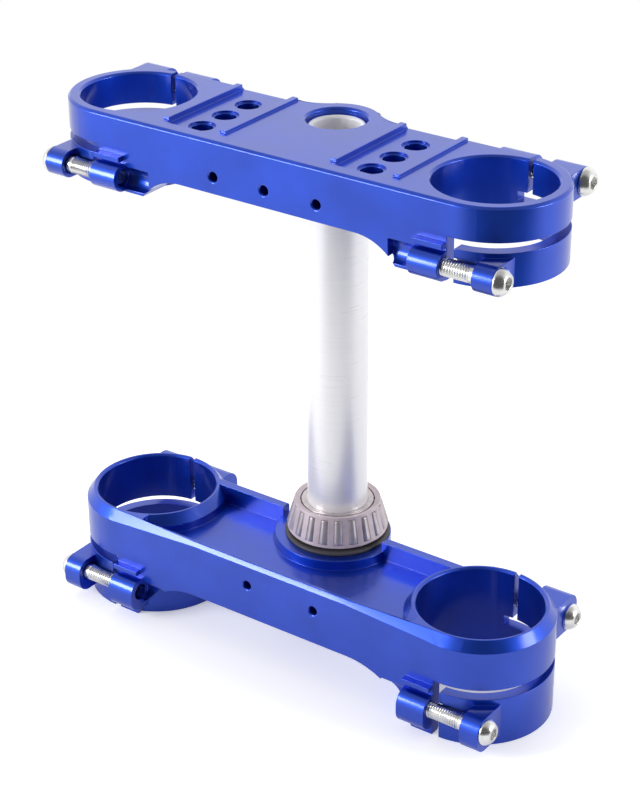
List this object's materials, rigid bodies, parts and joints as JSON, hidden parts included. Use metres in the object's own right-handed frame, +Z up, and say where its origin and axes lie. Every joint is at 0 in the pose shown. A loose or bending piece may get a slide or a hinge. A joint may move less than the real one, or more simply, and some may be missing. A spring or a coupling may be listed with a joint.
{
  "type": "motorcycle triple clamp",
  "caption": "Pair of blue anodised fork clamps on a hollow steering stem with its lower tapered roller bearing. Split bands with bolts hold the fork legs.",
  "frame": {"origin": "on the steering axis, in the plane of the lower clamp's underside", "axes": "+Z up along the steering axis, +Y to the rear of the motorcycle, +X from the left fork bore to the right one as seen from behind the rear"},
  "size_m": [0.2656, 0.093, 0.2663],
  "materials": {
    "blue_anodised": "blue anodised, satin, machined",
    "stem_satin": "clear anodised, satin, turned",
    "bearing_steel": "ground, bright",
    "cage_steel": "pressed sheet",
    "seal_rubber": "dark, matt",
    "bolt_steel": "bright plated"
  },
  "bodies": {
    "clamp": {"upper_clamp": "blue_anodised", "lower_clamp": "blue_anodised", "steering_stem": "stem_satin", "bearing_dust_seal": "seal_rubber", "bearing_inner_ring": "bearing_steel", "lower_left_front_bolt": "bolt_steel", "lower_left_rear_bolt": "bolt_steel", "lower_right_front_bolt": "bolt_steel", "lower_right_rear_bolt": "bolt_steel", "upper_left_front_bolt": "bolt_steel", "upper_left_rear_bolt": "bolt_steel", "upper_right_front_bolt": "bolt_steel", "upper_right_rear_bolt": "bolt_steel"},
    "cage": {"bearing_cage": "cage_steel"},
    "roller_01": {"roller_01": "bearing_steel"},
    "roller_02": {"roller_02": "bearing_steel"},
    "roller_03": {"roller_03": "bearing_steel"},
    "roller_04": {"roller_04": "bearing_steel"},
    "roller_05": {"roller_05": "bearing_steel"},
    "roller_06": {"roller_06": "bearing_steel"},
    "roller_07": {"roller_07": "bearing_steel"},
    "roller_08": {"roller_08": "bearing_steel"},
    "roller_09": {"roller_09": "bearing_steel"},
    "roller_10": {"roller_10": "bearing_steel"},
    "roller_11": {"roller_11": "bearing_steel"},
    "roller_12": {"roller_12": "bearing_steel"},
    "roller_13": {"roller_13": "bearing_steel"},
    "roller_14": {"roller_14": "bearing_steel"},
    "roller_15": {"roller_15": "bearing_steel"},
    "roller_16": {"roller_16": "bearing_steel"},
    "roller_17": {"roller_17": "bearing_steel"},
    "roller_18": {"roller_18": "bearing_steel"},
    "roller_19": {"roller_19": "bearing_steel"},
    "roller_20": {"roller_20": "bearing_steel"}
  },
  "joints": [
    {"name": "cage_spin", "type": "hinge", "parent": "clamp", "child": "cage", "pos_m": [0, 0, 0.0605], "axis": [0, 0, 1], "continuous": true},
    {"name": "roller_01_spin", "type": "hinge", "parent": "cage", "child": "roller_01", "pos_m": [0.021, 0, 0.0605], "axis": [-0.2419, 0, 0.9703], "continuous": true},
    {"name": "roller_02_spin", "type": "hinge", "parent": "cage", "child": "roller_02", "pos_m": [0.01997, 0.00649, 0.0605], "axis": [-0.2301, -0.0748, 0.9703], "continuous": true},
    {"name": "roller_03_spin", "type": "hinge", "parent": "cage", "child": "roller_03", "pos_m": [0.01699, 0.01234, 0.0605], "axis": [-0.1957, -0.1422, 0.9703], "continuous": true},
    {"name": "roller_04_spin", "type": "hinge", "parent": "cage", "child": "roller_04", "pos_m": [0.01234, 0.01699, 0.0605], "axis": [-0.1422, -0.1957, 0.9703], "continuous": true},
    {"name": "roller_05_spin", "type": "hinge", "parent": "cage", "child": "roller_05", "pos_m": [0.00649, 0.01997, 0.0605], "axis": [-0.0748, -0.2301, 0.9703], "continuous": true},
    {"name": "roller_06_spin", "type": "hinge", "parent": "cage", "child": "roller_06", "pos_m": [0, 0.021, 0.0605], "axis": [0, -0.2419, 0.9703], "continuous": true},
    {"name": "roller_07_spin", "type": "hinge", "parent": "cage", "child": "roller_07", "pos_m": [-0.00649, 0.01997, 0.0605], "axis": [0.0748, -0.2301, 0.9703], "continuous": true},
    {"name": "roller_08_spin", "type": "hinge", "parent": "cage", "child": "roller_08", "pos_m": [-0.01234, 0.01699, 0.0605], "axis": [0.1422, -0.1957, 0.9703], "continuous": true},
    {"name": "roller_09_spin", "type": "hinge", "parent": "cage", "child": "roller_09", "pos_m": [-0.01699, 0.01234, 0.0605], "axis": [0.1957, -0.1422, 0.9703], "continuous": true},
    {"name": "roller_10_spin", "type": "hinge", "parent": "cage", "child": "roller_10", "pos_m": [-0.01997, 0.00649, 0.0605], "axis": [0.2301, -0.0748, 0.9703], "continuous": true},
    {"name": "roller_11_spin", "type": "hinge", "parent": "cage", "child": "roller_11", "pos_m": [-0.021, 0, 0.0605], "axis": [0.2419, 0, 0.9703], "continuous": true},
    {"name": "roller_12_spin", "type": "hinge", "parent": "cage", "child": "roller_12", "pos_m": [-0.01997, -0.00649, 0.0605], "axis": [0.2301, 0.0748, 0.9703], "continuous": true},
    {"name": "roller_13_spin", "type": "hinge", "parent": "cage", "child": "roller_13", "pos_m": [-0.01699, -0.01234, 0.0605], "axis": [0.1957, 0.1422, 0.9703], "continuous": true},
    {"name": "roller_14_spin", "type": "hinge", "parent": "cage", "child": "roller_14", "pos_m": [-0.01234, -0.01699, 0.0605], "axis": [0.1422, 0.1957, 0.9703], "continuous": true},
    {"name": "roller_15_spin", "type": "hinge", "parent": "cage", "child": "roller_15", "pos_m": [-0.00649, -0.01997, 0.0605], "axis": [0.0748, 0.2301, 0.9703], "continuous": true},
    {"name": "roller_16_spin", "type": "hinge", "parent": "cage", "child": "roller_16", "pos_m": [0, -0.021, 0.0605], "axis": [0, 0.2419, 0.9703], "continuous": true},
    {"name": "roller_17_spin", "type": "hinge", "parent": "cage", "child": "roller_17", "pos_m": [0.00649, -0.01997, 0.0605], "axis": [-0.0748, 0.2301, 0.9703], "continuous": true},
    {"name": "roller_18_spin", "type": "hinge", "parent": "cage", "child": "roller_18", "pos_m": [0.01234, -0.01699, 0.0605], "axis": [-0.1422, 0.1957, 0.9703], "continuous": true},
    {"name": "roller_19_spin", "type": "hinge", "parent": "cage", "child": "roller_19", "pos_m": [0.01699, -0.01234, 0.0605], "axis": [-0.1957, 0.1422, 0.9703], "continuous": true},
    {"name": "roller_20_spin", "type": "hinge", "parent": "cage", "child": "roller_20", "pos_m": [0.01997, -0.00649, 0.0605], "axis": [-0.2301, 0.0748, 0.9703], "continuous": true}
  ],
  "couplings": [
    {"joint": "roller_01_spin", "follows": "cage_spin", "ratio": 7.1066},
    {"joint": "roller_02_spin", "follows": "cage_spin", "ratio": 7.1066},
    {"joint": "roller_03_spin", "follows": "cage_spin", "ratio": 7.1066},
    {"joint": "roller_04_spin", "follows": "cage_spin", "ratio": 7.1066},
    {"joint": "roller_05_spin", "follows": "cage_spin", "ratio": 7.1066},
    {"joint": "roller_06_spin", "follows": "cage_spin", "ratio": 7.1066},
    {"joint": "roller_07_spin", "follows": "cage_spin", "ratio": 7.1066},
    {"joint": "roller_08_spin", "follows": "cage_spin", "ratio": 7.1066},
    {"joint": "roller_09_spin", "follows": "cage_spin", "ratio": 7.1066},
    {"joint": "roller_10_spin", "follows": "cage_spin", "ratio": 7.1066},
    {"joint": "roller_11_spin", "follows": "cage_spin", "ratio": 7.1066},
    {"joint": "roller_12_spin", "follows": "cage_spin", "ratio": 7.1066},
    {"joint": "roller_13_spin", "follows": "cage_spin", "ratio": 7.1066},
    {"joint": "roller_14_spin", "follows": "cage_spin", "ratio": 7.1066},
    {"joint": "roller_15_spin", "follows": "cage_spin", "ratio": 7.1066},
    {"joint": "roller_16_spin", "follows": "cage_spin", "ratio": 7.1066},
    {"joint": "roller_17_spin", "follows": "cage_spin", "ratio": 7.1066},
    {"joint": "roller_18_spin", "follows": "cage_spin", "ratio": 7.1066},
    {"joint": "roller_19_spin", "follows": "cage_spin", "ratio": 7.1066},
    {"joint": "roller_20_spin", "follows": "cage_spin", "ratio": 7.1066}
  ]
}
